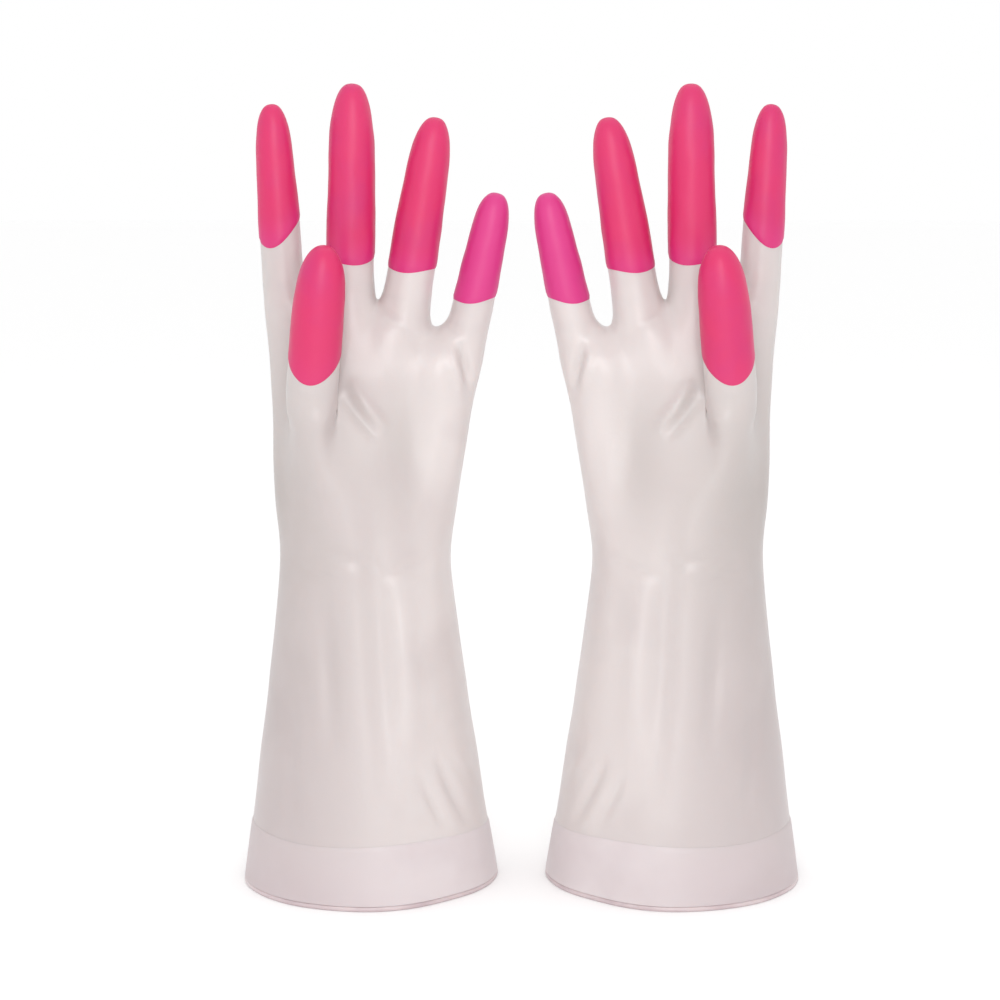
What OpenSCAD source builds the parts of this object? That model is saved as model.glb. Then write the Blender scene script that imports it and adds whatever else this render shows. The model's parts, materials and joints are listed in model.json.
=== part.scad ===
// A pair of household gloves that stand on their open cuffs, palms to the front.
// +Z runs from the cuff rims to the fingertips and -Y is the palm side.
// The left glove is modelled about its own upright axis and the right one mirrors it about X = 0.
// Every stall is cut square across at its fold lines, where the film really bends.

/* [Pair] */
// Clear gap between the two cuffs
pair_gap = 22.6; // [8:0.2:80]

/* [Film] */
// Thickness of the vinyl film
film_t = 0.6; // [0.4:0.1:1.2]
// Thickness of the coloured over-dip on the fingertips
coat_t = 0.5; // [0.3:0.1:1.0]
// Clear gap left at each fold line
fold_gap = 0.3; // [0.2:0.05:0.6]

/* [Cuff and sleeve] */
// Half width of the sleeve at its open rim
cuff_rx = 58; // [48:0.5:72]
// Half depth of the sleeve at its open rim
cuff_ry = 48; // [44:0.5:60]
// Half width of the sleeve at the wrist
wrist_rx = 38.3; // [34:0.1:46]
// Half depth of the sleeve at the wrist
wrist_ry = 29; // [25:0.5:34]
// Height of the sleeve from the rim to the wrist fold
sleeve_len = 150; // [110:1:200]
// How sharply the sleeve flares, where 1 is a straight cone
flare_power = 1.15; // [1:0.05:1.6]
// Height of the doubled hem band
hem_h = 29; // [16:1:44]
// Width of the rolled rim
rim_w = 2; // [1.6:0.1:3]
// Height of the rolled rim
rim_h = 2.4; // [1.6:0.1:4]

/* [Palm] */
// Height of the palm from the wrist fold to the knuckle line
palm_len = 101; // [84:1:122]
// Half depth of the palm at the knuckle line
palm_ry = 13; // [11.5:0.5:15]
// How far the knuckle line lies off the sleeve's axis, towards the little finger
palm_shift = 6.7; // [0:0.1:10]
// How far the palm's edges stay inside the outer edges of the finger roots
palm_tuck = 1.7; // [0:0.1:4]
// Gap between the index and middle roots
index_web = 10.6; // [3:0.1:14]
// Gap between the middle and ring roots
ring_web = 5.1; // [3:0.1:10]
// Gap between the ring and little roots
little_web = 8; // [3:0.1:14]

/* [Fingers] */
// Forward tilt of all the fingers
finger_tilt = 4; // [0:0.5:8]
// Index finger, from its root fold to its tip
index_len = 69.5; // [56:0.5:84]
// Middle finger, from its root fold to its tip
middle_len = 78.5; // [64:0.5:95]
// Ring finger, from its root fold to its tip
ring_len = 71; // [58:0.5:86]
// Little finger, from its root fold to its tip
little_len = 51; // [42:0.5:62]
// Index finger radius at its root
index_r = 9.2; // [7.5:0.1:11]
// Middle finger radius at its root
middle_r = 10.4; // [8.5:0.1:13]
// Ring finger radius at its root
ring_r = 10.6; // [8.5:0.1:13]
// Little finger radius at its root
little_r = 9; // [7.5:0.1:11]

/* [Thumb] */
// Height of the thumb's root fold above the wrist fold
thumb_rise = 82; // [66:1:98]
// Thumb, from its root fold to its tip
thumb_len = 61.5; // [50:0.5:74]
// Thumb radius at its root
thumb_r = 11.2; // [9:0.1:14]
// Sideways place of the thumb's root, from the sleeve's axis
thumb_x = -20.3; // [-26:0.1:-12]
// Forward tilt of the thumb
thumb_tilt = 11; // [6:0.5:16]
// Clear gap between the thumb and the palm behind it
thumb_gap = 0.9; // [0.6:0.1:3]

/* [Hidden] */
SIDES = ["left", "right"];
CUFF_PIECES = ["rim", "hem_band", "sleeve", "hand"];
STALL_PIECES = ["stall", "tip", "coat_root", "coat_tip"];

FILM_COLOUR = "#e9dfdc";
HEM_COLOUR = "#e2d6d6";
RIM_COLOUR = "#d8caca";
COAT_COLOUR = "#ee4e8c";

SIDES_ROUND = 48;
HULL_SIDES = 32;
ROUND_FN = 72;
SLICE = 0.4;
CAP_STEP = 15;
COAT_BOND = 0.05;
HEM_BOND = 0.05;
CUT_OVER = 2;
LITTLE_CLEAR = 1.5;
FOOT_TUCK = 1;
// Tip radius as a share of the root radius, for the slender digits and for the blunt ones
TAPER = 0.87;
BLUNT_TAPER = 0.93;

// Width across the four finger roots, and the palm's own half width at the knuckle line
roots_w = 2 * (index_r + middle_r + ring_r + little_r) + index_web + ring_web + little_web;
palm_rx = roots_w / 2 - palm_tuck;
index_x = palm_shift - roots_w / 2 + index_r;
middle_x = index_x + index_r + index_web + middle_r;
ring_x = middle_x + middle_r + ring_web + ring_r;
little_x = ring_x + ring_r + little_web + little_r;
knuckle_z = sleeve_len + palm_len;
thumb_z = sleeve_len + thumb_rise;

// Distance from the middle of the pair to each glove's axis: the cuffs and the little
// fingertips both stay apart
LITTLE_LEAN = 12.5;
little_reach = little_x + little_len * sin(LITTLE_LEAN) + little_r * cos(LITTLE_LEAN) * TAPER;
pair_x = max(cuff_rx + rim_w / 2 + pair_gap / 2, little_reach + LITTLE_CLEAR);

// Shape of the palm: height share, width share, depth share and sideways share of the way
// from the wrist to the knuckle line
PALM_SHAPE = [
    [0, 0, 0, 0],
    [0.25, 0.27, 0.25, 0.1],
    [0.47, 0.44, 0.5, 0.3],
    [0.68, 0.56, 0.72, 0.6],
    [0.85, 0.8, 0.9, 0.82],
    [1, 1, 1, 1],
    [1.11, 0.88, 1.28, 1.04],
];
WIDTH_SHARE = [for (row = PALM_SHAPE) [row[0], row[1]]];
DEPTH_SHARE = [for (row = PALM_SHAPE) [row[0], row[2]]];
SHIFT_SHARE = [for (row = PALM_SHAPE) [row[0], row[3]]];

// Each digit: name, root point, lean, tilt, length, root radius, tip radius, cap length,
// start of the coat and middle fold, the last two measured from the root fold
NAME = 0;
ROOT = 1;
LEAN = 2;
TILT = 3;
LENGTH = 4;
ROOT_R = 5;
TIP_R = 6;
CAP = 7;
COAT_FROM = 8;
FOLD = 9;
DIGITS = [
    ["index", [index_x, 0, knuckle_z + 31], -2.5, finger_tilt, index_len, index_r, index_r * TAPER, 16, 8, 28],
    ["middle", [middle_x, 0, knuckle_z + 31], 1.5, finger_tilt, middle_len, middle_r, middle_r * BLUNT_TAPER, 19, 2, 33],
    ["ring", [ring_x, 0, knuckle_z + 25], 10, finger_tilt, ring_len, ring_r, ring_r * TAPER, 18, 3.5, 31],
    ["little", [little_x, 0, knuckle_z + 12], LITTLE_LEAN, finger_tilt, little_len, little_r, little_r * TAPER, 13, 3.5, 23],
    ["thumb", [thumb_x, thumb_y(), thumb_z], 7, thumb_tilt, thumb_len, thumb_r, thumb_r * BLUNT_TAPER, 20, 2, 27],
];
FINGERS = [for (i = [0:3]) DIGITS[i]];
THUMB = DIGITS[4];

// The fingers rise out of the palm from this share of its height
FOOT_SHARE = 0.84;

// Webs between neighbouring fingers: the two fingers and the height of the crotch above the knuckle line
WEBS = [[0, 1, 19], [1, 2, 14], [2, 3, 3]];
// A web's lower edge below the knuckle line, its half widths as shares of the way between the
// two fingers, and its half depth at the crotch as a share of the palm's
WEB_DROP = 10;
WEB_LOW_SHARE = 0.8;
WEB_TOP_SHARE = 0.7;
WEB_THIN_SHARE = 0.42;

// The thumb's mound, from the heel of the palm up to the thumb's root. Each level has its height
// as a share of the palm's, its place across from the thumb's root, how far it is sunk into the
// palm, its half width and its half depth
MOUND_LOW = [0.2, 12.3, 11, 22, 9.5];
MOUND_HIGH = [0.55, 4.3, 0, 17, 13];

// The thumb's root stands clear in front of the palm
function thumb_y() = -(palm_depth(thumb_rise / palm_len) + thumb_r + coat_t + thumb_gap);

function palm_width(share) = wrist_rx + (palm_rx - wrist_rx) * lookup(share, WIDTH_SHARE);
function palm_depth(share) = wrist_ry + (palm_ry - wrist_ry) * lookup(share, DEPTH_SHARE);
function palm_side(share) = palm_shift * lookup(share, SHIFT_SHARE);

// Half width and half depth of the sleeve at a height above the rim
function flare(z) = pow(max(0, 1 - z / sleeve_len), flare_power);
function sleeve_rx(z) = wrist_rx + (cuff_rx - wrist_rx) * flare(z);
function sleeve_ry(z) = wrist_ry + (cuff_ry - wrist_ry) * flare(z);

// One ring of an oval tube, as points in a level plane
function oval(rx, ry, z) =
    [for (i = [0:SIDES_ROUND - 1]) [rx * cos(360 * i / SIDES_ROUND), ry * sin(360 * i / SIDES_ROUND), z]];

function oval_outline(rx, ry) =
    [for (i = [0:SIDES_ROUND - 1]) [rx * cos(360 * i / SIDES_ROUND), ry * sin(360 * i / SIDES_ROUND)]];

// Two triangles between corners a, b below and d, c above
function two_triangles(a, b, c, d) = [[a, b, c], [a, c, d]];

// The wall of an oval tube between the given heights, from the film's inner to its outer offset
module oval_wall(heights, inner, outer) {
    n = SIDES_ROUND;
    rows = len(heights);
    outside = [for (z = heights) each oval(sleeve_rx(z) + outer, sleeve_ry(z) + outer, z)];
    inside = [for (z = heights) each oval(sleeve_rx(z) + inner, sleeve_ry(z) + inner, z)];
    base = n * rows;
    top = n * (rows - 1);
    walls = [
        for (k = [0:rows - 2], i = [0:n - 1])
            let (j = (i + 1) % n, a = n * k + i, b = n * k + j)
            each concat(
                two_triangles(b, a, a + n, b + n),
                two_triangles(base + a, base + b, base + b + n, base + a + n)
            )
    ];
    ends = [
        for (i = [0:n - 1])
            let (j = (i + 1) % n)
            each concat(
                two_triangles(i, j, base + j, base + i),
                two_triangles(top + j, top + i, base + top + i, base + top + j)
            )
    ];
    polyhedron(points = concat(outside, inside), faces = concat(walls, ends));
}

// Heights at even steps from one level to another
function steps(from, to, count) = [for (i = [0:count]) from + (to - from) * i / count];

// Places its children with their +Z along a digit, from the centre of its root fold
module at_digit(d) {
    translate(d[ROOT])
        rotate([0, d[LEAN], 0])
            rotate([d[TILT], 0, 0])
                children();
}

// Outer radius of a digit's film at a distance from its root fold, below the rounded cap
function film_r(d, s) = d[ROOT_R] + (d[TIP_R] - d[ROOT_R]) * s / (d[LENGTH] - d[CAP]);

// The rounded end of a digit, as profile points from its side to its tip
function cap_points(d, grow) = [
    for (a = [0:CAP_STEP:90])
        [(d[TIP_R] + grow) * cos(a), d[LENGTH] - d[CAP] + (d[CAP] + grow) * sin(a)]
];

function reversed(points) = [for (i = [len(points) - 1:-1:0]) points[i]];

// An open, tapering tube of a digit between two distances from its root fold
module open_stall(d, from, to, inner, outer) {
    at_digit(d)
        rotate_extrude($fn = ROUND_FN)
            polygon([
                [film_r(d, from) + inner, from],
                [film_r(d, from) + outer, from],
                [film_r(d, to) + outer, to],
                [film_r(d, to) + inner, to],
            ]);
}

// A tube of a digit that is closed by its rounded tip
module closed_stall(d, from, inner, outer) {
    at_digit(d)
        rotate_extrude($fn = ROUND_FN)
            polygon(concat(
                [[film_r(d, from) + inner, from], [film_r(d, from) + outer, from]],
                cap_points(d, outer),
                reversed(cap_points(d, inner))
            ));
}

// A level oval slice, a foot for the hulls of the hand
module slice(x, y, z, rx, ry) {
    translate([x, y, z])
        linear_extrude(SLICE)
            scale([1, ry / rx])
                circle(r = rx, $fn = HULL_SIDES);
}

// The round slice that a root ends in, run past the root fold so that it can be trimmed there
module root_slice(d, grow) {
    at_digit(d)
        translate([0, 0, CUT_OVER])
            cylinder(r = d[ROOT_R] + grow, h = SLICE, $fn = HULL_SIDES);
}

module palm_slice(share, grow) {
    past_end = share == 0 ? -CUT_OVER : share > 1 ? grow : 0;
    slice(
        palm_side(share),
        0,
        sleeve_len + palm_len * share + past_end,
        palm_width(share) + grow,
        palm_depth(share) + grow
    );
}

// The palm between its levels
module palm_form(grow) {
    for (i = [0:len(PALM_SHAPE) - 2])
        hull() {
            palm_slice(PALM_SHAPE[i][0], grow);
            palm_slice(PALM_SHAPE[i + 1][0], grow);
        }
}

// The foot of each finger, rising out of the palm without standing proud of its edges
module finger_feet(grow) {
    side = palm_side(FOOT_SHARE);
    inner_half = palm_width(FOOT_SHARE) - FOOT_TUCK;
    for (d = FINGERS) {
        reach = inner_half - d[ROOT_R];
        off_centre = min(reach, max(-reach, d[ROOT][0] - side));
        hull() {
            slice(
                side + off_centre,
                0,
                sleeve_len + palm_len * FOOT_SHARE,
                d[ROOT_R] + grow,
                palm_ry - FOOT_TUCK + grow
            );
            root_slice(d, grow);
        }
    }
}

// The film that joins two neighbouring fingers below their crotch
module webs(grow) {
    for (w = WEBS) {
        a = DIGITS[w[0]];
        b = DIGITS[w[1]];
        middle = (a[ROOT][0] + b[ROOT][0]) / 2;
        half = (b[ROOT][0] - a[ROOT][0]) / 2;
        hull() {
            slice(
                middle,
                0,
                knuckle_z - WEB_DROP,
                half * WEB_LOW_SHARE + grow,
                palm_ry - 2 * FOOT_TUCK + grow
            );
            slice(
                middle,
                0,
                knuckle_z + w[2] + grow,
                half * WEB_TOP_SHARE + grow,
                palm_ry * WEB_THIN_SHARE + grow
            );
        }
    }
}

// The mound that carries the thumb out of the front of the palm
module mound_slice(level, grow) {
    slice(
        thumb_x + level[1],
        level[2] - palm_depth(level[0]),
        sleeve_len + palm_len * level[0],
        level[3] + grow,
        level[4] + grow
    );
}

module thumb_mound(grow) {
    hull() {
        mound_slice(MOUND_LOW, grow);
        mound_slice(MOUND_HIGH, grow);
    }
    hull() {
        mound_slice(MOUND_HIGH, grow);
        root_slice(THUMB, grow);
    }
}

module hand_form(grow) {
    palm_form(grow);
    finger_feet(grow);
    webs(grow);
    thumb_mound(grow);
}

// Square cuts at the wrist fold and at each root fold, which open the hand's cavity
module end_trims() {
    reach = 2 * max(wrist_rx, palm_rx);
    translate([-reach, -reach, sleeve_len + fold_gap / 2 - 2 * CUT_OVER])
        cube([2 * reach, 2 * reach, 2 * CUT_OVER]);
    for (d = DIGITS)
        at_digit(d)
            translate([0, 0, -fold_gap / 2])
                cylinder(r = d[ROOT_R] + CUT_OVER / 2, h = 2 * CUT_OVER, $fn = HULL_SIDES);
}

module rim() {
    color(RIM_COLOUR)
        linear_extrude(rim_h)
            difference() {
                polygon(oval_outline(cuff_rx + rim_w / 2, cuff_ry + rim_w / 2));
                polygon(oval_outline(cuff_rx - rim_w / 2, cuff_ry - rim_w / 2));
            }
}

module hem_band() {
    color(HEM_COLOUR)
        oval_wall(steps(rim_h, hem_h, 3), HEM_BOND, HEM_BOND + film_t);
}

module sleeve() {
    color(FILM_COLOUR)
        oval_wall(steps(rim_h, sleeve_len - fold_gap / 2, 12), -film_t, 0);
}

module hand() {
    color(FILM_COLOUR)
        difference() {
            hand_form(0);
            hand_form(-film_t);
            end_trims();
        }
}

// The four pieces of one digit: film below and above its middle fold, and the coat over each
module stall(d) {
    color(FILM_COLOUR)
        open_stall(d, fold_gap / 2, d[FOLD] - fold_gap / 2, -film_t, 0);
}

module tip(d) {
    color(FILM_COLOUR)
        closed_stall(d, d[FOLD] + fold_gap / 2, -film_t, 0);
}

module coat_root(d) {
    color(COAT_COLOUR)
        open_stall(d, d[COAT_FROM], d[FOLD] - fold_gap / 2, COAT_BOND, COAT_BOND + coat_t);
}

module coat_tip(d) {
    color(COAT_COLOUR)
        closed_stall(d, d[FOLD] + fold_gap / 2, COAT_BOND, COAT_BOND + coat_t);
}

// Moves a left-hand piece to its place in the pair, mirrored for the right glove
module in_pair(side) {
    mirror([side == "right" ? 1 : 0, 0, 0])
        translate([-pair_x, 0, 0])
            children();
}

for (side = SIDES) in_pair(side) {
    rim();
    hem_band();
    sleeve();
    hand();
    for (d = DIGITS) {
        stall(d);
        tip(d);
        coat_root(d);
        coat_tip(d);
    }
}
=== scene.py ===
import json
import math
import bmesh
import bpy
from mathutils import Matrix, Vector, noise


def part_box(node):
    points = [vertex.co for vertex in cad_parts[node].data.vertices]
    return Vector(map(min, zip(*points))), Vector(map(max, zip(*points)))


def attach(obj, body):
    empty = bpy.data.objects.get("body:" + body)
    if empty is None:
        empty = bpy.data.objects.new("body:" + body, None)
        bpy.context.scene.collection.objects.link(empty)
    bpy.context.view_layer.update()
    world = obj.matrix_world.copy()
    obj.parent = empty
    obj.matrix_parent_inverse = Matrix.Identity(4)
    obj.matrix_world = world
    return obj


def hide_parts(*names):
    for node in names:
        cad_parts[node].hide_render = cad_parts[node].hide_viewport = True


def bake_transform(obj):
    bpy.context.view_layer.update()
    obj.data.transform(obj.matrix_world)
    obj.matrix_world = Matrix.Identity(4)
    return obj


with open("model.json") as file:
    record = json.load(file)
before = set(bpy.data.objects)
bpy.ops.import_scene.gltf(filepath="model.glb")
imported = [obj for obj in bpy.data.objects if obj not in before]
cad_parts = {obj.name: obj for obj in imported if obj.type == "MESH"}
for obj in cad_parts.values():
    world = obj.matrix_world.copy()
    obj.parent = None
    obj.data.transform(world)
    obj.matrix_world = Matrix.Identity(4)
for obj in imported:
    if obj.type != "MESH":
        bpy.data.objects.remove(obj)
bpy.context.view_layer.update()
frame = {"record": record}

MM = 0.001
FRONT = 0
MIDDLE = 1
BACK = 2

# ---------------------------------------------------------------- sizes, in metres

joints = {j["name"]: j for j in frame["record"]["behaviour"]["joints"]}
rim_low, rim_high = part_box("left_rim")
AXIS_X = (rim_low.x + rim_high.x) / 2
RIM_WIDTH = 2 * MM
RIM_HEIGHT = rim_high.z
CUFF_RX = (rim_high.x - rim_low.x - RIM_WIDTH) / 2
CUFF_RY = (rim_high.y - rim_low.y - RIM_WIDTH) / 2
WRIST_Z = joints["left_wrist"]["pos_m"][2]
WRIST_RY = -joints["left_wrist"]["pos_m"][1]
WRIST_RX = 38.3 * MM
FLARE_POWER = 1.15
HEM_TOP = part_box("left_hem_band")[1].z
PALM_LENGTH = 101 * MM
PALM_RX = 49.35 * MM
PALM_RY = 13 * MM
PALM_SHIFT = 6.7 * MM
KNUCKLE_Z = WRIST_Z + PALM_LENGTH
FILM = 0.6 * MM
COAT = 0.5 * MM
SMOOTHING = 2
WEB_PASSES = 150

# name: (lean, tilt, length, root radius, tip radius, cap length, middle fold), in degrees and metres
DIGITS = {
    "index": (-2.5, 4, 69.5 * MM, 9.2 * MM, 8.0 * MM, 27 * MM, 28 * MM),
    "middle": (1.5, 4, 78.5 * MM, 10.4 * MM, 9.7 * MM, 28 * MM, 33 * MM),
    "ring": (10, 4, 71 * MM, 10.6 * MM, 9.2 * MM, 27 * MM, 31 * MM),
    "little": (12.5, 4, 51 * MM, 9.0 * MM, 7.8 * MM, 17 * MM, 23 * MM),
    "thumb": (7, 11, 61.5 * MM, 11.2 * MM, 10.6 * MM, 25 * MM, 27 * MM),
}
FINGERS = ["index", "middle", "ring", "little"]
DIGIT_ID = {name: k + 1 for k, name in enumerate(DIGITS)}


class Digit:
    """One digit of the left glove: its axes and the centre of its root fold, about the glove's axis."""

    def __init__(self, name):
        self.name = name
        lean, tilt, self.length, self.root_r, self.tip_r, self.cap, self.fold = DIGITS[name]
        turn = Matrix.Rotation(math.radians(lean), 3, "Y") @ Matrix.Rotation(math.radians(tilt), 3, "X")
        self.across, self.back, self.along = (turn @ Vector(v) for v in ((1, 0, 0), (0, 1, 0), (0, 0, 1)))
        hinge = Vector(joints[f"left_{name}_root"]["pos_m"]) - Vector((AXIS_X, 0, 0))
        inward = self.across if name == "thumb" else self.back
        self.root = hinge + inward * self.root_r

    def point(self, x, y, s):
        return self.root + self.across * x + self.back * y + self.along * s

    def radius(self, s):
        share = max(0.0, s / (self.length - self.cap))
        return self.root_r + (self.tip_r - self.root_r) * share


digits = {name: Digit(name) for name in DIGITS}

# ---------------------------------------------------------------- the shape of one glove


def spread(x, points):
    """Value at x on straight lines between a few (x, value) points."""
    if x <= points[0][0]:
        return points[0][1]
    for (a, low), (b, high) in zip(points, points[1:]):
        if x <= b:
            t = (x - a) / (b - a)
            return low + (high - low) * t
    return points[-1][1]


def sleeve_flare(z):
    return max(0.0, 1 - z / WRIST_Z) ** FLARE_POWER


# How far the palm has come from the wrist's shape to the knuckles', by its share of the way up
WIDTH_SHARE = [(0, 0), (0.12, 0.07), (0.25, 0.27), (0.47, 0.44), (0.68, 0.56), (0.85, 0.8), (1, 1)]
DEPTH_SHARE = [(0, 0), (0.12, 0.11), (0.25, 0.25), (0.47, 0.5), (0.68, 0.72), (0.85, 0.9), (1, 1)]
SHIFT_SHARE = [(0, 0), (0.25, 0.1), (0.47, 0.3), (0.68, 0.6), (0.85, 0.82), (1, 1)]


def half_width(z):
    if z < WRIST_Z:
        return WRIST_RX + (CUFF_RX - WRIST_RX) * sleeve_flare(z)
    share = (z - WRIST_Z) / PALM_LENGTH
    return WRIST_RX + (PALM_RX - WRIST_RX) * spread(share, WIDTH_SHARE)


def half_depth(z):
    if z < WRIST_Z:
        return WRIST_RY + (CUFF_RY - WRIST_RY) * sleeve_flare(z)
    share = (z - WRIST_Z) / PALM_LENGTH
    return WRIST_RY + (PALM_RY - WRIST_RY) * spread(share, DEPTH_SHARE)


def sideways(z):
    share = (z - WRIST_Z) / PALM_LENGTH
    return PALM_SHIFT * spread(share, SHIFT_SHARE)


# A finger takes three faces of the grid across and two from front to back. Its ten outer corners stand on a
# circle, and these are their places across it, for the front or back row and for the middle row.
COLUMN_ANGLES = [math.radians(a) for a in (144, 108, 72, 36)]
COLUMN_X = [math.cos(a) for a in COLUMN_ANGLES]
COLUMN_Y = [math.sin(a) for a in COLUMN_ANGLES]
MIDDLE_X = (-1, -0.36, 0.36, 1)
# Subdivision draws a ring and an oval in by these shares, so that the cage is made larger
RING_SWELL = 1 / 0.936
THUMB_SWELL = 1 / 0.955
BODY_SWELL = 1.006
FACES_ACROSS = 15
COLUMNS = FACES_ACROSS + 1

# Height of the crotches on each side of the fingers, from the index's outer side to the little's,
# how much higher their middle is, and how much wider than its root a finger starts there
CROTCH_Z = [z * MM for z in (258, 270, 263.5, 252, 245)]
CROTCH_RISE = 1.5 * MM
CROTCH_WIDTH = 1.02


def finger_of(column):
    return FINGERS[column // 4], column % 4


def loop_point(digit, i, row, s, radius):
    """One corner of a finger's grid of four by three, on a ring of the given radius."""
    r = radius * RING_SWELL
    if row == MIDDLE:
        return digit.point(MIDDLE_X[i] * r, 0, s)
    y = COLUMN_Y[i] * r * (-1 if row == FRONT else 1)
    return digit.point(COLUMN_X[i] * r, y, s)


def crotch_point(column, row):
    name, i = finger_of(column)
    digit = digits[name]
    k = FINGERS.index(name)
    z = CROTCH_Z[k] + (CROTCH_Z[k + 1] - CROTCH_Z[k]) * i / 3
    if row == MIDDLE:
        z += CROTCH_RISE
    s = (z - digit.root.z) / digit.along.z
    return loop_point(digit, i, row, s, digit.root_r * CROTCH_WIDTH)


TOP_X = [crotch_point(c, FRONT).x for c in range(COLUMNS)]
TOP_LEFT = crotch_point(0, MIDDLE).x
TOP_RIGHT = crotch_point(COLUMNS - 1, MIDDLE).x


# Below this height the columns are spaced evenly round the sleeve
EVEN_Z = 0.6 * WRIST_Z


def body_point(column, row, z, squareness=2.0):
    """A corner of the glove's body at a height, on an oval that keeps the columns under the fingers."""
    a, b, cx = half_width(z) * BODY_SWELL, half_depth(z) * BODY_SWELL, sideways(z)
    if row == MIDDLE:
        return Vector((cx + (a if column else -a), 0, z))
    centre = (TOP_LEFT + TOP_RIGHT) / 2
    u = (TOP_X[column] - centre) / ((TOP_RIGHT - TOP_LEFT) / 2)
    # The sleeve's columns are spaced more evenly round the oval than the knuckles' are
    even = -math.cos(math.pi * (column + 1) / (COLUMNS + 1))
    share = min(1.0, max(0.0, (z - EVEN_Z) / (KNUCKLE_Z - EVEN_Z)))
    u = even + (u - even) * share
    y = b * (1 - abs(u) ** squareness) ** (1 / squareness)
    return Vector((cx + a * u, y if row == BACK else -y, z))


# The row under the crotches: how far below the knuckles it lies, how square its oval is, and how
# much of the crotches' slant it follows
UNDER_DROP = 10 * MM
UNDER_SQUARENESS = 2.3
UNDER_SLANT = 0.35
# Heights of the body's rows from the knuckles down to the rim
PALM_ROWS = [z * MM for z in (226, 212, 198, 184, 172, 161, 150)]
SLEEVE_ROWS = [z * MM for z in (138, 124, 108, 92, 76, 60, 46, 34, 24, 14, 6, 0)]
THUMB_ROWS = (1, 4)
THUMB_COLUMNS = (2, 5)


def place(verts, layers, where):
    for v in verts:
        v.co = where(v[layers["column"]], v[layers["row"]])


def extrude_ring(bm, edges):
    made = bmesh.ops.extrude_edge_only(bm, edges=edges)["geom"]
    verts = [g for g in made if isinstance(g, bmesh.types.BMVert)]
    fresh = set(verts)
    ring = [g for g in made if isinstance(g, bmesh.types.BMEdge) and all(v in fresh for v in g.verts)]
    return verts, ring


def extrude_cap(bm, faces, digit_layer, digit_id):
    """Pushes a patch of faces out, and marks the faces that this leaves round its edge."""
    before = set(bm.faces)
    made = bmesh.ops.extrude_face_region(bm, geom=faces)["geom"]
    bmesh.ops.delete(bm, geom=[f for f in faces if f.is_valid], context="FACES")
    cap = [g for g in made if isinstance(g, bmesh.types.BMFace)]
    for f in bm.faces:
        if f not in before:
            f[digit_layer] = digit_id
    return cap, list({v for f in cap for v in f.verts})


# The rounded end of a digit: shares of its cap's length and of the tip's radius
CAP_PROFILE = ((0.42, 0.93), (0.74, 0.72), (0.93, 0.42))
CAP_CROWN = 0.06
RING_STEP = 11 * MM


def cap_rows(digit, first):
    """Distances along a digit for its rings, and for the last few that round its tip."""
    straight = digit.length - digit.cap
    count = max(2, round((straight - first) / RING_STEP))
    rows = [first + (straight - first) * k / count for k in range(count + 1)]
    return rows, [(straight + digit.cap * t, r) for t, r in CAP_PROFILE]


def grow_finger(bm, layers, name):
    digit = digits[name]
    first_column = 4 * FINGERS.index(name)
    wanted = range(first_column, first_column + 4)
    cap = [f for f in bm.faces if f[layers["digit"]] == 0 and f[layers["top"]] == 1
           and all(v[layers["column"]] in wanted for v in f.verts)]
    straight_rows, round_rows = cap_rows(digit, 0.0)
    for s in straight_rows:
        cap, verts = extrude_cap(bm, cap, layers["digit"], DIGIT_ID[name])
        place(verts, layers, lambda c, r: loop_point(digit, c - first_column, r, s, digit.radius(s)))
    for s, share in round_rows:
        cap, verts = extrude_cap(bm, cap, layers["digit"], DIGIT_ID[name])
        radius = digit.tip_r * share
        place(verts, layers, lambda c, r: loop_point(digit, c - first_column, r, s, radius))
    for v in verts:
        if v[layers["row"]] == MIDDLE and v[layers["column"]] - first_column in (1, 2):
            v.co += digit.along * digit.cap * CAP_CROWN


# Angles of the thumb's twelve outer corners, in degrees, and the spacing of its four inner ones
THUMB_RIM = {
    (0, 0): 135, (1, 0): 105, (2, 0): 75, (3, 0): 45,
    (3, 1): 15, (3, 2): -15, (3, 3): -45, (2, 3): -75,
    (1, 3): -105, (0, 3): -135, (0, 2): -165, (0, 1): 165,
}
THUMB_CORE = 0.72
# The thumb's foot leaves the palm in two steps towards a ring just below the root fold
FOOT_STEPS = (0.4, 0.72)
FOOT_RING = -3 * MM
FOOT_WIDTH = 1.06
THUMB_START = -2 * MM


def thumb_corner(i, j, s, radius):
    """One corner of the thumb's four by four grid; j runs from the palm's side to the front."""
    digit = digits["thumb"]
    r = radius * THUMB_SWELL
    if (i, j) in THUMB_RIM:
        angle = math.radians(THUMB_RIM[i, j])
        return digit.point(r * math.cos(angle), r * math.sin(angle), s)
    return digit.point((i - 1.5) * r * THUMB_CORE, (1.5 - j) * r * THUMB_CORE, s)


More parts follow.
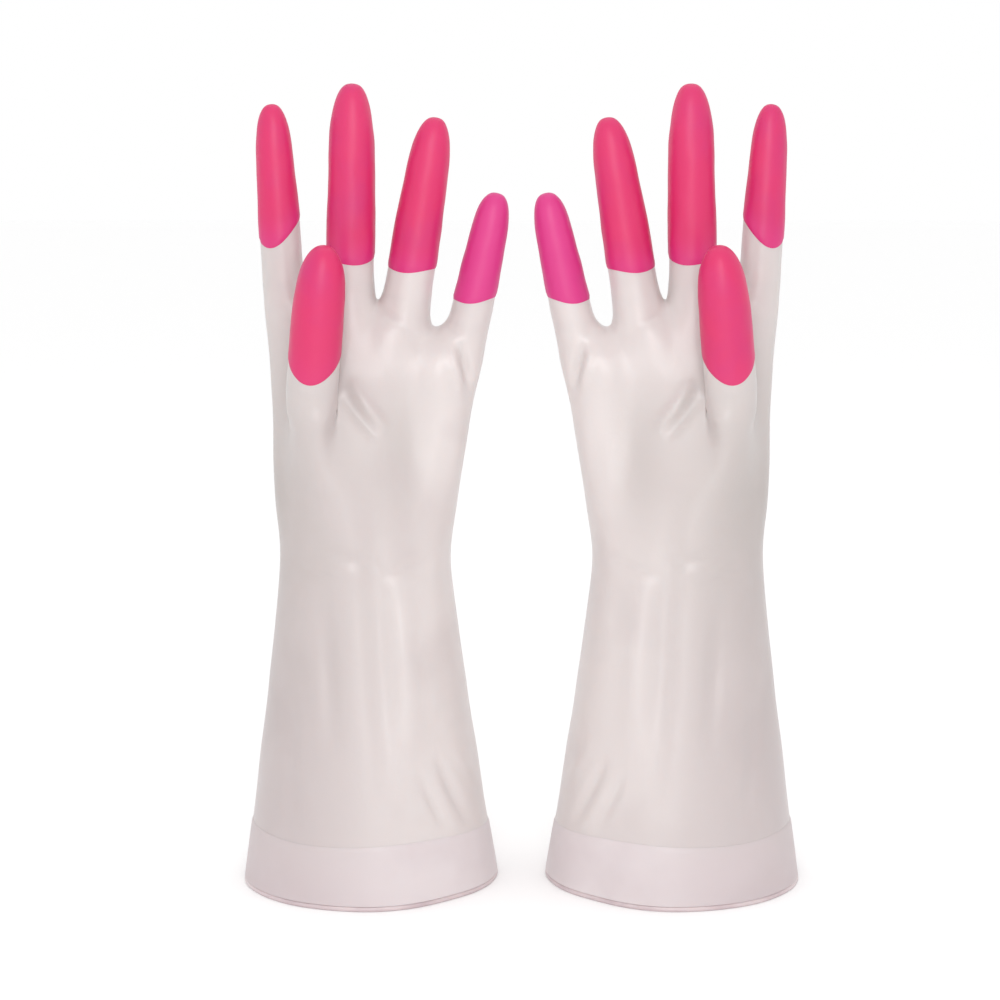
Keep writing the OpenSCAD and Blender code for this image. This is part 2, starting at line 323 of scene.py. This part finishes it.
def grow_thumb(bm, layers):
    digit = digits["thumb"]
    rows = range(THUMB_ROWS[0], THUMB_ROWS[1] + 1)
    columns = range(THUMB_COLUMNS[0], THUMB_COLUMNS[1] + 1)
    cap = [f for f in bm.faces if f[layers["digit"]] == 0 and f[layers["top"]] == 0
           and all(v[layers["column"]] in columns and v[layers["row"]] == FRONT
                   and v[layers["level"]] in rows for v in f.verts)]
    base = {(v[layers["column"]], v[layers["level"]]): v.co.copy() for f in cap for v in f.verts}

    def move(verts, target):
        for v in verts:
            i = v[layers["column"]] - THUMB_COLUMNS[0]
            j = v[layers["level"]] - THUMB_ROWS[0]
            v.co = target(i, j, base[v[layers["column"]], v[layers["level"]]])

    foot_r = digit.root_r * FOOT_WIDTH
    for share in FOOT_STEPS:
        cap, verts = extrude_cap(bm, cap, layers["digit"], 0)
        move(verts, lambda i, j, start: start.lerp(thumb_corner(i, j, FOOT_RING, foot_r), share))
    straight_rows, round_rows = cap_rows(digit, THUMB_START)
    for s in straight_rows:
        cap, verts = extrude_cap(bm, cap, layers["digit"], DIGIT_ID["thumb"])
        move(verts, lambda i, j, start: thumb_corner(i, j, s, digit.radius(s)))
    for s, share in round_rows:
        cap, verts = extrude_cap(bm, cap, layers["digit"], DIGIT_ID["thumb"])
        move(verts, lambda i, j, start: thumb_corner(i, j, s, digit.tip_r * share))
    for v in verts:
        i, j = v[layers["column"]] - THUMB_COLUMNS[0], v[layers["level"]] - THUMB_ROWS[0]
        if i in (1, 2) and j in (1, 2):
            v.co += digit.along * digit.cap * CAP_CROWN


def glove_cage():
    """The plain form of the left glove: a grid across the knuckles, drawn down into the palm and
    sleeve and pushed up into the fingers, with the thumb pushed out of the front of the palm."""
    bm = bmesh.new()
    layers = {name: bm.verts.layers.int.new(name) for name in ("column", "row", "level")}
    layers["digit"] = bm.faces.layers.int.new("digit")
    layers["top"] = bm.faces.layers.int.new("top")
    bmesh.ops.create_grid(bm, x_segments=FACES_ACROSS, y_segments=2, size=1)
    for v in bm.verts:
        v[layers["column"]] = round((v.co.x + 1) / 2 * FACES_ACROSS)
        v[layers["row"]] = round(v.co.y + 1)
    for f in bm.faces:
        f[layers["top"]] = 1
    place(bm.verts, layers, crotch_point)
    ring = [e for e in bm.edges if e.is_boundary]

    def below_knuckles(column, row):
        top = crotch_point(column, row)
        flat = body_point(column, row, KNUCKLE_Z - UNDER_DROP, UNDER_SQUARENESS)
        flat.z += (top.z - KNUCKLE_Z) * UNDER_SLANT
        return flat

    shapes = [below_knuckles]
    for z in PALM_ROWS + SLEEVE_ROWS:
        shapes.append(lambda c, r, z=z: body_point(c, r, z))
    for level, shape in enumerate(shapes):
        verts, ring = extrude_ring(bm, ring)
        for v in verts:
            v[layers["level"]] = level
        place(verts, layers, shape)
        for f in {f for v in verts for f in v.link_faces}:
            f[layers["top"]] = 0
    for name in FINGERS:
        grow_finger(bm, layers, name)
    grow_thumb(bm, layers)
    bmesh.ops.recalc_face_normals(bm, faces=bm.faces)
    return bm


def new_object(name, bm):
    mesh = bpy.data.meshes.new(name)
    bm.to_mesh(mesh)
    bm.free()
    obj = bpy.data.objects.new(name, mesh)
    bpy.context.scene.collection.objects.link(obj)
    return obj


def smoothed(bm, levels):
    """A mesh after subdivision, with its modifier applied."""
    obj = new_object("glove_form", bm)
    modifier = obj.modifiers.new("smooth", "SUBSURF")
    modifier.levels = levels
    modifier.render_levels = levels
    graph = bpy.context.evaluated_depsgraph_get()
    fine = bmesh.new()
    fine.from_mesh(obj.evaluated_get(graph).to_mesh())
    bpy.data.objects.remove(obj)
    return fine


# ---------------------------------------------------------------- folds and creases

# Soft shapes pressed in or out of the film: the middle of each, its half sizes across and up,
# its turn in degrees, and how far it stands out, in millimetres
FRONT_BULGES = [
    (-13, 196, 18, 28, 0, 6.0),
    (2, 222, 9, 13, 30, 2.5),
    (-6, 172, 18, 22, 0, 3.0),
    (22, 200, 11, 34, 0, -4.5),
    (35, 238, 9, 13, -12, 2.2),
    (45, 200, 6, 30, 8, 1.8),
    (-30, 252, 6, 14, 0, 1.0),
    (10, 252, 8, 8, 0, 1.4),
]
BACK_BULGES = [
    (-5, 246, 26, 10, 0, 1.6),
    (30, 240, 20, 9, 14, 1.4),
    (8, 200, 22, 34, 0, 1.2),
]
# Creases in the film, on the front or the back: both ends, the half width, and how far they stand
# out (in where it is below zero), in millimetres
FRONT_CREASES = [
    (-8, 226, 8, 206, 2.6, -2.6),
    (-5, 232, 12, 210, 2.4, 3.0),
    (43, 249, 49, 222, 2.4, -3.2),
    (39, 247, 45, 226, 2.0, 1.6),
    (-43, 277, -28, 275, 1.8, -1.4),
    (3, 262, 30, 256, 3.0, -1.4),
    (-22, 158, 10, 151, 3.4, -1.3),
    (-32, 150, -8, 144, 2.8, -1.0),
    (8, 146, 34, 153, 3.2, -1.1),
    (-18, 150, -12, 62, 5.0, -2.6),
    (4, 190, 12, 40, 6.0, -2.7),
    (18, 150, 22, 60, 5.0, 1.9),
    (-34, 96, -30, 34, 4.0, -1.9),
    (32, 66, 50, 26, 2.4, -2.1),
    (38, 72, 56, 36, 2.2, 1.4),
    (24, 60, 38, 31, 2.4, -1.6),
]
BACK_CREASES = [
    (-26, 154, 14, 150, 3.6, -1.2),
    (0, 140, -6, 50, 6.0, -1.4),
    (28, 120, 36, 36, 5.0, -1.2),
    (-30, 110, -38, 30, 4.0, -1.0),
    (-30, 262, 36, 250, 3.2, -0.9),
]
# Painted shade in the palm's hollow, as the share of the film's painted light that it takes away
PALM_HOLLOW_PAINTED_SHADE = (19, 204, 11, 34, 0, 0.6)


def oval_weight(x, z, shape):
    cx, cz, rx, rz, turn, height = shape
    a = math.radians(turn)
    dx, dz = x - cx, z - cz
    u = (dx * math.cos(a) + dz * math.sin(a)) / rx
    w = (-dx * math.sin(a) + dz * math.cos(a)) / rz
    return height * math.exp(-(u * u + w * w))


def crease_weight(x, z, shape):
    x0, z0, x1, z1, width, depth = shape
    ex, ez = x1 - x0, z1 - z0
    t = ((x - x0) * ex + (z - z0) * ez) / (ex * ex + ez * ez)
    nearest = min(1.0, max(0.0, t))
    dx, dz = x - x0 - ex * nearest, z - z0 - ez * nearest
    along = math.sin(math.pi * nearest)
    return depth * along * math.exp(-(dx * dx + dz * dz) / (width * width))


# Slow waves round the sleeve: how many there are, where they start and their height
CUFF_WAVES = ((3, 0.6, 0.9), (5, 2.1, 0.6), (8, 0, 0.3))
WAVES_END = 135


def cuff_wave(angle, z):
    """Slow waves round the sleeve that grow towards its open end."""
    grown = max(0.0, 1 - z / WAVES_END) ** 1.3
    return grown * sum(height * math.sin(count * angle + start) for count, start, height in CUFF_WAVES)


# Slow unevenness of the film and of the digits: its height and its size
FILM_UNEVEN = (0.35, 24)
DIGIT_UNEVEN = (0.22, 9)
# The folds reach onto the digits only below this height, and fade out towards it
FOLDS_TOP = 226
FOLDS_FADE = 8


def film_move(v, on_digit):
    """How far one point of the film is pressed in or out, in millimetres."""
    x, y, z = v.co / MM
    n = v.normal
    height, size = FILM_UNEVEN
    out = height * noise.noise(Vector((x, y, z)) / size)
    fade = 1.0
    if on_digit:
        height, size = DIGIT_UNEVEN
        out += height * noise.noise(Vector((x, y * 2, z)) / size)
        fade = min(1.0, max(0.0, (FOLDS_TOP - z) / FOLDS_FADE))
    bulges, creases = (FRONT_BULGES, FRONT_CREASES) if n.y < 0 else (BACK_BULGES, BACK_CREASES)
    facing = fade * abs(n.y) ** 0.7
    out += facing * sum(crease_weight(x, z, c) for c in creases)
    raised = facing * sum(oval_weight(x, z, b) for b in bulges)
    move = n * out + Vector((0, -raised if n.y < 0 else raised, 0))
    if z < WAVES_END:
        angle = math.atan2(y / CUFF_RY, x / CUFF_RX)
        move += Vector((n.x, n.y, 0)) * cuff_wave(angle, z)
    return move


def dent(bm, digit_layer):
    """Presses the folds, creases and slow waves into the film."""
    bm.normal_update()
    moves = [(v, film_move(v, any(f[digit_layer] for f in v.link_faces)) * MM) for v in bm.verts]
    for v, move in moves:
        if v.co.z < 0.2 * MM:
            move.z = 0
        v.co += move


# The patch of the palm that the thumb's web spreads over: its middle, its half sizes, and the
# depth in front of which it starts
WEB_PATCH = (-7, 203, 30, 39)
WEB_FRONT = -4


def ease_thumb_web(bm, digit_layer):
    """Draws the film between the thumb and the palm taut, as one broad web."""
    cx, cz, rx, rz = WEB_PATCH
    web = []
    for v in bm.verts:
        x, y, z = v.co / MM
        inside = ((x - cx) / rx) ** 2 + ((z - cz) / rz) ** 2 < 1
        if inside and y < WEB_FRONT and not any(f[digit_layer] for f in v.link_faces):
            web.append(v)
    for _ in range(WEB_PASSES):
        bmesh.ops.smooth_vert(bm, verts=web, factor=0.5, use_axis_x=True, use_axis_y=True, use_axis_z=True)


# ---------------------------------------------------------------- cutting the form into its pieces

BODY = 0
BARE = 1
UNDER_COAT = 2
COAT_LOW = 3
COAT_HIGH = 4

# name: (start of the digit's own film, split of the coat, and the coat's edge: its level, its slant
# across, its slant to the back and its rise at the sides), in millimetres from the root fold
COAT_CUTS = {
    "index": (-9, 21, (11, 4.5, 2, 4.5)),
    "middle": (-9, 18, (1.5, 0, 1, 1)),
    "ring": (-9, 16, (4, 1.6, 0.6, 0.5)),
    "little": (-8, 12, (3.5, 2.6, 0.6, 0.5)),
    "thumb": (-1.5, 19, (9.5, 0.8, 6.5, 3)),
}
UNDERLAP = 3
EDGE_RIPPLE = 0.35
# A height on each digit, in millimetres from its root fold, that is handed to digit_blend, which moves
# nothing by it
ROOT_TURN_END = {"index": 9, "middle": 9, "ring": 9, "little": 9, "thumb": 13}


def along(digit, co):
    """Place of a point in a digit's own axes, in millimetres from its root fold."""
    d = co - digit.root
    return d.dot(digit.across) / MM, d.dot(digit.back) / MM, d.dot(digit.along) / MM


def coat_edge(digit, x, y):
    level, across, back, rise = COAT_CUTS[digit.name][2]
    r = digit.root_r / MM
    u, w = max(-1.2, min(1.2, x / r)), max(-1.2, min(1.2, y / r))
    ripple = EDGE_RIPPLE * math.sin(3 * math.atan2(y, x) + level)
    return level + across * u + back * w + rise * u * u + ripple


def cut_level(bm, digit, digit_layer, edge_of):
    """Cuts a digit where its length reaches edge_of(x, y), by straightening that edge for the cut."""
    faces = [f for f in bm.faces if f[digit_layer] == DIGIT_ID[digit.name]]
    verts = {v for f in faces for v in f.verts}
    edges = {e for f in faces for e in f.edges}
    shifts = {}
    for v in verts:
        x, y, _ = along(digit, v.co)
        shifts[v] = edge_of(x, y)
        v.co -= digit.along * shifts[v] * MM
    made = bmesh.ops.bisect_plane(bm, geom=faces + list(edges) + list(verts), dist=1e-7,
                                  plane_co=digit.root, plane_no=digit.along)["geom"]
    for v in {g for g in made if isinstance(g, bmesh.types.BMVert)} | verts:
        x, y, _ = along(digit, v.co)
        v.co += digit.along * (shifts[v] if v in shifts else edge_of(x, y)) * MM


def mark_zones(bm, digit_layer):
    zone = bm.faces.layers.int.new("zone")
    for name, digit in digits.items():
        start, split, _ = COAT_CUTS[name]
        cut_level(bm, digit, digit_layer, lambda x, y: start)
        cut_level(bm, digit, digit_layer, lambda x, y: coat_edge(digit, x, y))
        cut_level(bm, digit, digit_layer, lambda x, y: coat_edge(digit, x, y) + UNDERLAP)
        cut_level(bm, digit, digit_layer, lambda x, y: split)
        for f in bm.faces:
            if f[digit_layer] != DIGIT_ID[name]:
                continue
            x, y, s = along(digit, f.calc_center_median())
            edge = coat_edge(digit, x, y)
            if s > split:
                f[zone] = COAT_HIGH
            elif s > edge + UNDERLAP:
                f[zone] = COAT_LOW
            elif s > edge:
                f[zone] = UNDER_COAT
            elif s > start:
                f[zone] = BARE
    return zone


def piece_of(form, wanted):
    """A copy of the form that keeps the faces for which wanted(face) holds."""
    form.faces.index_update()
    dropped = {f.index for f in form.faces if not wanted(f)}
    bm = form.copy()
    bmesh.ops.delete(bm, geom=[f for f in bm.faces if f.index in dropped], context="FACES")
    return bm


def swell(bm, amount):
    """Moves every corner along its normal by amount(corner)."""
    bm.normal_update()
    for v, move in [(v, v.normal * amount(v)) for v in bm.verts]:
        v.co += move


def mirrored(bm):
    flipped = bm.copy()
    for v in flipped.verts:
        v.co.x = -v.co.x
    bmesh.ops.reverse_faces(flipped, faces=flipped.faces)
    return flipped


def in_place(bm, side):
    """The piece in its place in the pair; the right glove mirrors the left one."""
    placed = bm.copy() if side == "left" else mirrored(bm)
    shift = AXIS_X if side == "left" else -AXIS_X
    bmesh.ops.translate(placed, verts=placed.verts, vec=(shift, 0, 0))
    return placed


def pair_point(side, point):
    x = point.x + AXIS_X
    return Vector((x if side == "left" else -x, point.y, point.z))


def shell(name, bm, thickness, material, side):
    """A closed, smooth shell of that thickness, which is grown inwards from the outer surface."""
    placed = in_place(bm, side)
    for f in placed.faces:
        f.smooth = True
    for e in placed.edges:
        e.smooth = not e.is_boundary
    obj = new_object(f"{side}_{name}", placed)
    modifier = obj.modifiers.new("film", "SOLIDIFY")
    modifier.thickness = thickness
    modifier.offset = -1
    modifier.use_even_offset = False
    graph = bpy.context.evaluated_depsgraph_get()
    solid = bpy.data.meshes.new_from_object(obj.evaluated_get(graph))
    obj.modifiers.clear()
    obj.data = solid
    obj.data.materials.append(material)
    return obj


# ---------------------------------------------------------------- tone and dye


def eased(distance, reach):
    t = min(1.0, max(0.0, distance / reach))
    return t * t * (3 - 2 * t)


# Painted light: the film is painted paler towards the little finger's side, where the light falls more
# strongly: where that starts, and over what width
PAINTED_LIGHT_START = -44
PAINTED_LIGHT_WIDTH = 84
# How much of the magenta dye each coat takes at its lower edge, and how far up it reaches
EDGE_DYE = {"index": 0.6, "middle": 0.6, "ring": 0.6, "thumb": 0.18}
DYE_REACH = 9


# Painted light and shade: the film is painted paler towards the little finger's side and darker in the
# palm's hollow
def paint_light_and_shade(bm):
    tone = bm.verts.layers.float.new("tone")
    for v in bm.verts:
        x, y, z = v.co / MM
        # Painted shade: the palm's hollow takes back part of the painted light
        hollow_shade = oval_weight(x, z, PALM_HOLLOW_PAINTED_SHADE) if y < 0 else 0
        v[tone] = eased(x - PAINTED_LIGHT_START, PAINTED_LIGHT_WIDTH) * (1 - hollow_shade)


def paint_dye(bm, digit_layer):
    """The little finger's coat is dyed all over, and the others more strongly near their edges."""
    dye = bm.verts.layers.float.new("dye")
    names = {number: name for name, number in DIGIT_ID.items()}
    for v in bm.verts:
        number = max(f[digit_layer] for f in v.link_faces)
        if number == DIGIT_ID["little"]:
            v[dye] = 1
        elif number:
            digit = digits[names[number]]
            x, y, s = along(digit, v.co)
            v[dye] = EDGE_DYE[digit.name] * math.exp(-((s - coat_edge(digit, x, y)) / DYE_REACH) ** 2)


# ---------------------------------------------------------------- materials


def srgb(r, g, b):
    def linear(c):
        c /= 255
        return c / 12.92 if c <= 0.04045 else ((c + 0.055) / 1.055) ** 2.4
    return (linear(r), linear(g), linear(b), 1)


def principled(name, roughness, coat, coat_roughness, depth):
    """A glossy material: its coat, and how much light sinks into it."""
    mat = bpy.data.materials.new(name)
    mat.use_nodes = True
    nodes, links = mat.node_tree.nodes, mat.node_tree.links
    shader = nodes["Principled BSDF"]
    shader.inputs["Roughness"].default_value = roughness
    shader.inputs["Coat Weight"].default_value = coat
    shader.inputs["Coat Roughness"].default_value = coat_roughness
    shader.inputs["Subsurface Weight"].default_value = depth
    shader.inputs["Subsurface Radius"].default_value = (1.0, 0.7, 0.6)
    shader.inputs["Subsurface Scale"].default_value = 2 * MM
    where = nodes.new("ShaderNodeTexCoord")
    return mat, nodes, links, shader, where


def noise_bump(nodes, links, shader, where, layers):
    """Bump from a few noises, each with its scale, strength and height."""
    normal = None
    for scale, strength, height in layers:
        grain = nodes.new("ShaderNodeTexNoise")
        grain.inputs["Scale"].default_value = scale
        grain.inputs["Detail"].default_value = 4
        links.new(where.outputs["Object"], grain.inputs["Vector"])
        bump = nodes.new("ShaderNodeBump")
        bump.inputs["Strength"].default_value = strength
        bump.inputs["Distance"].default_value = height
        links.new(grain.outputs["Fac"], bump.inputs["Height"])
        if normal:
            links.new(normal, bump.inputs["Normal"])
        normal = bump.outputs["Normal"]
    links.new(normal, shader.inputs["Normal"])


def height_share(nodes, links, where, low, high):
    """A share from 0 to 1 between two heights."""
    split = nodes.new("ShaderNodeSeparateXYZ")
    links.new(where.outputs["Object"], split.inputs["Vector"])
    share = nodes.new("ShaderNodeMapRange")
    share.inputs["From Min"].default_value = low
    share.inputs["From Max"].default_value = high
    links.new(split.outputs["Z"], share.inputs["Value"])
    return share.outputs["Result"]


def colour_ramp(nodes, links, source, stops):
    ramp = nodes.new("ShaderNodeValToRGB")
    while len(ramp.color_ramp.elements) < len(stops):
        ramp.color_ramp.elements.new(0.5)
    for element, (at, colour) in zip(ramp.color_ramp.elements, stops):
        element.position = at
        element.color = colour
    links.new(source, ramp.inputs["Fac"])
    return ramp.outputs["Color"]


def mottled(nodes, links, where, colour, other, scale, low, high):
    """A colour that drifts softly towards another one in patches."""
    patches = nodes.new("ShaderNodeTexNoise")
    patches.inputs["Scale"].default_value = scale
    patches.inputs["Detail"].default_value = 3
    links.new(where.outputs["Object"], patches.inputs["Vector"])
    share = nodes.new("ShaderNodeMapRange")
    share.inputs["From Min"].default_value = low
    share.inputs["From Max"].default_value = high
    links.new(patches.outputs["Fac"], share.inputs["Value"])
    mix = nodes.new("ShaderNodeMix")
    mix.data_type = "RGBA"
    links.new(share.outputs["Result"], mix.inputs["Factor"])
    links.new(colour, mix.inputs["A"])
    mix.inputs["B"].default_value = other
    return mix.outputs["Result"]


def brighter_by_painted_light(nodes, links, colour, lit_colour):
    """Painted light: mixes towards a brighter colour where the film's painted light attribute is high."""
    painted_light_attr = nodes.new("ShaderNodeAttribute")
    painted_light_attr.attribute_name = "tone"
    mix = nodes.new("ShaderNodeMix")
    mix.data_type = "RGBA"
    links.new(painted_light_attr.outputs["Fac"], mix.inputs["Factor"])
    links.new(colour, mix.inputs["A"])
    mix.inputs["B"].default_value = lit_colour
    return mix.outputs["Result"]


def pearly_film():
    mat, nodes, links, shader, where = principled("pearly_vinyl_film", 0.36, 0.25, 0.28, 0.25)
    height = height_share(nodes, links, where, 0.0, 0.26)
    drift = colour_ramp(nodes, links, height, [
        (0.0, srgb(190, 178, 178)),
        (0.35, srgb(181, 170, 169)),
        (0.7, srgb(177, 168, 165)),
        (1.0, srgb(203, 194, 192)),
    ])
    # Painted light: the film is brighter towards the little finger's side, and less so in the palm's
    # hollow, which is painted shade
    drift = brighter_by_painted_light(nodes, links, drift, srgb(211, 201, 199))
    colour = mottled(nodes, links, where, drift, srgb(194, 183, 182), 18, 0.5, 0.85)
    links.new(colour, shader.inputs["Base Color"])
    grains = [(45, 0.35, 1.2 * MM), (160, 0.2, 0.4 * MM), (1400, 0.12, 0.08 * MM)]
    noise_bump(nodes, links, shader, where, grains)
    return mat


def hem_film():
    mat, nodes, links, shader, where = principled("doubled_hem_film", 0.45, 0.1, 0.35, 0.2)
    height = height_share(nodes, links, where, 0.0, 0.03)
    drift = colour_ramp(nodes, links, height, [(0.0, srgb(192, 178, 180)), (1.0, srgb(192, 180, 180))])
    # Painted light: the hem is painted brighter towards the little finger's side
    drift = brighter_by_painted_light(nodes, links, drift, srgb(213, 202, 203))
    colour = mottled(nodes, links, where, drift, srgb(200, 187, 189), 30, 0.45, 0.9)
    links.new(colour, shader.inputs["Base Color"])
    noise_bump(nodes, links, shader, where, [(90, 0.16, 0.6 * MM), (1400, 0.12, 0.08 * MM)])
    return mat


def rim_bead():
    mat, nodes, links, shader, where = principled("rolled_rim_bead", 0.4, 0.15, 0.3, 0.15)
    height = height_share(nodes, links, where, 0.0, RIM_HEIGHT)
    drift = colour_ramp(nodes, links, height, [(0.0, srgb(196, 180, 182)), (1.0, srgb(216, 201, 202))])
    colour = mottled(nodes, links, where, drift, srgb(190, 172, 176), 60, 0.4, 0.7)
    links.new(colour, shader.inputs["Base Color"])
    noise_bump(nodes, links, shader, where, [(300, 0.15, 0.2 * MM)])
    return mat


def pink_coat():
    mat, nodes, links, shader, where = principled("pink_over_dip", 0.46, 0.08, 0.35, 0.12)
    height = height_share(nodes, links, where, 0.22, 0.36)
    drift = colour_ramp(nodes, links, height, [
        (0.0, srgb(204, 40, 97)),
        (0.35, srgb(205, 35, 96)),
        (0.7, srgb(206, 35, 97)),
        (1.0, srgb(206, 38, 99)),
    ])
    dyed = nodes.new("ShaderNodeAttribute")
    dyed.attribute_name = "dye"
    mix = nodes.new("ShaderNodeMix")
    mix.data_type = "RGBA"
    links.new(dyed.outputs["Fac"], mix.inputs["Factor"])
    links.new(mottled(nodes, links, where, drift, srgb(198, 36, 104), 40, 0.5, 0.75), mix.inputs["A"])
    mix.inputs["B"].default_value = srgb(205, 48, 126)
    links.new(mix.outputs["Result"], shader.inputs["Base Color"])
    noise_bump(nodes, links, shader, where, [(120, 0.14, 0.5 * MM), (1800, 0.12, 0.06 * MM)])
    return mat


FILM_FINISH = pearly_film()
HEM_FINISH = hem_film()
RIM_FINISH = rim_bead()
COAT_FINISH = pink_coat()

# ---------------------------------------------------------------- the pieces of both gloves

form = smoothed(glove_cage(), SMOOTHING)
ease_thumb_web(form, form.faces.layers.int["digit"])
form = smoothed(form, 1)
digit_layer = form.faces.layers.int["digit"]
dent(form, digit_layer)
zone = mark_zones(form, digit_layer)
# Painted light and shade on the film: paler towards the little finger's side, darker in the palm's hollow
paint_light_and_shade(form)
paint_dye(form, digit_layer)


# The hem's seam wanders a little: how far below the band's top it lies, its wave and its slant
SEAM_DROP = 0.8 * MM
SEAM_WAVE = 1.4 * MM
SEAM_WAVE_LENGTH = 19 * MM
SEAM_SLANT = 0.03
# Shares of a thickness that a raised piece has at its edge, and gains further in, over what reach
HEM_EDGE = 0.15
HEM_GAIN = 0.6
HEM_REACH = 1.6 * MM
COAT_EDGE = 0.2
COAT_GAIN = 0.7
COAT_REACH = 1.5
COAT_SHELL = FILM + COAT * 0.5
RIM_SHELL = RIM_WIDTH * 0.7


def hem_seam(x):
    """Height of the hem's upper edge across the cuff."""
    wave = SEAM_WAVE * math.sin(x / SEAM_WAVE_LENGTH)
    return HEM_TOP - SEAM_DROP + wave - SEAM_SLANT * x


def cut_across(bm, height_at):
    """Cuts the cuff where it reaches a height that varies across it."""
    shifts = {v: height_at(v.co.x) for v in bm.verts}
    for v, shift in shifts.items():
        v.co.z -= shift
    made = bmesh.ops.bisect_plane(bm, geom=bm.verts[:] + bm.edges[:] + bm.faces[:], dist=1e-7,
                                  plane_co=(0, 0, 0), plane_no=(0, 0, 1))["geom"]
    for v in {g for g in made if isinstance(g, bmesh.types.BMVert)} | set(shifts):
        v.co.z += shifts[v] if v in shifts else height_at(v.co.x)


body_form = piece_of(form, lambda f: f[zone] == BODY)
RIM_ROWS = [RIM_HEIGHT * share for share in (0.06, 0.2, 0.4, 0.6, 0.8, 0.94, 1)]
cut_across(body_form, hem_seam)
for level in RIM_ROWS:
    cut_across(body_form, lambda x: level)


def hem_swell(v):
    return FILM * (HEM_EDGE + HEM_GAIN * eased(hem_seam(v.co.x) - v.co.z, HEM_REACH))


def middle_z(f):
    return f.calc_center_median().z


def bead(v):
    """The rolled rim's round outer side."""
    u = 2 * v.co.z / RIM_HEIGHT - 1
    return RIM_WIDTH / 2 * math.sqrt(max(0.0, 1 - u * u)) - (RIM_WIDTH - RIM_SHELL)


glove_film = piece_of(body_form, lambda f: middle_z(f) > RIM_HEIGHT)
hem_band = piece_of(body_form, lambda f: RIM_HEIGHT < middle_z(f) < hem_seam(f.calc_center_median().x))
swell(hem_band, hem_swell)
rim_roll = piece_of(body_form, lambda f: middle_z(f) < RIM_HEIGHT)
swell(rim_roll, bead)

for side in ("left", "right"):
    sleeve, hand = f"{side}_sleeve", f"{side}_hand"
    film = shell("glove_film", glove_film, FILM, FILM_FINISH, side)
    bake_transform(film)
    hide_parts(sleeve, hand)
    hem = shell("hem_band_film", hem_band, FILM, HEM_FINISH, side)
    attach(hem, sleeve)
    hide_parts(f"{side}_hem_band")
    rim = shell("rim_roll", rim_roll, RIM_SHELL, RIM_FINISH, side)
    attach(rim, sleeve)
    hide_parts(f"{side}_rim")


def digit_blend(obj, side, digit, start, end):
    first = pair_point(side, digit.point(0, 0, start * MM))
    last = pair_point(side, digit.point(0, 0, end * MM))
    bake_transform(obj)


for name, digit in digits.items():
    start, split, _ = COAT_CUTS[name]
    number = DIGIT_ID[name]
    bare = piece_of(form, lambda f: f[digit_layer] == number and f[zone] in (BARE, UNDER_COAT))
    coat_low = piece_of(form, lambda f: f[digit_layer] == number and f[zone] in (UNDER_COAT, COAT_LOW))
    coat_high = piece_of(form, lambda f: f[digit_layer] == number and f[zone] == COAT_HIGH)

    def coat_swell(v):
        x, y, s = along(digit, v.co)
        return COAT * (COAT_EDGE + COAT_GAIN * eased(s - coat_edge(digit, x, y), COAT_REACH))

    swell(coat_low, coat_swell)
    swell(coat_high, coat_swell)
    fold = digit.fold / MM
    turn_end = ROOT_TURN_END[name]
    for side in ("left", "right"):
        hand = f"{side}_hand"
        film = shell(f"{name}_film", bare, FILM, FILM_FINISH, side)
        digit_blend(film, side, digit, start, turn_end)
        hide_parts(f"{side}_{name}_stall")
        coat = shell(f"{name}_coat_lower", coat_low, COAT_SHELL, COAT_FINISH, side)
        digit_blend(coat, side, digit, start, turn_end)
        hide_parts(f"{side}_{name}_coat_root")
        tip = shell(f"{name}_coat_upper", coat_high, COAT_SHELL, COAT_FINISH, side)
        digit_blend(tip, side, digit, split, 2 * fold - split)
        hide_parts(f"{side}_{name}_tip", f"{side}_{name}_coat_tip")

# ---------------------------------------------------------------- floor, lights and camera


def plain(name, colour, roughness):
    mat = bpy.data.materials.new(name)
    mat.use_nodes = True
    shader = mat.node_tree.nodes["Principled BSDF"]
    shader.inputs["Base Color"].default_value = colour
    shader.inputs["Roughness"].default_value = roughness
    return mat


def pale_floor():
    """The flat floor that the rims rest on."""
    bm = bmesh.new()
    bmesh.ops.create_grid(bm, x_segments=1, y_segments=1, size=6)
    obj = new_object("floor", bm)
    obj.data.materials.append(plain("pale_floor", srgb(254, 254, 254), 0.9))


def area_light(name, place, target, size, power):
    light = bpy.data.lights.new(name, "AREA")
    light.shape = "RECTANGLE"
    light.size, light.size_y = size
    light.energy = power
    obj = bpy.data.objects.new(name, light)
    obj.location = place
    obj.rotation_euler = (Vector(target) - Vector(place)).to_track_quat("-Z", "Y").to_euler()
    bpy.context.scene.collection.objects.link(obj)


pale_floor()
AIM = Vector((0, 0, 0.176))
area_light("front_softbox", (0, -0.75, 0.45), AIM, (0.3, 0.6), 2.0)
area_light("top_softbox", (0, 0.3, 1.6), AIM, (1.2, 1.2), 1.5)

world = bpy.data.worlds.new("studio")
world.use_nodes = True
world.node_tree.nodes["Background"].inputs["Color"].default_value = (1, 1, 1, 1)
world.node_tree.nodes["Background"].inputs["Strength"].default_value = 1.0
bpy.context.scene.world = world
bpy.context.scene.view_settings.view_transform = "Standard"

# The camera stands one metre from the aim, a little above it
ELEVATION = math.radians(10)
camera = bpy.data.cameras.new("camera")
camera.sensor_width = 36
camera.lens = 80.2
camera.shift_x = -0.0215
camera_object = bpy.data.objects.new("camera", camera)
camera_object.location = AIM + Vector((0, -math.cos(ELEVATION), math.sin(ELEVATION)))
camera_object.rotation_euler = (math.radians(90) - ELEVATION, 0, 0)
bpy.context.scene.collection.objects.link(camera_object)
bpy.context.scene.camera = camera_object
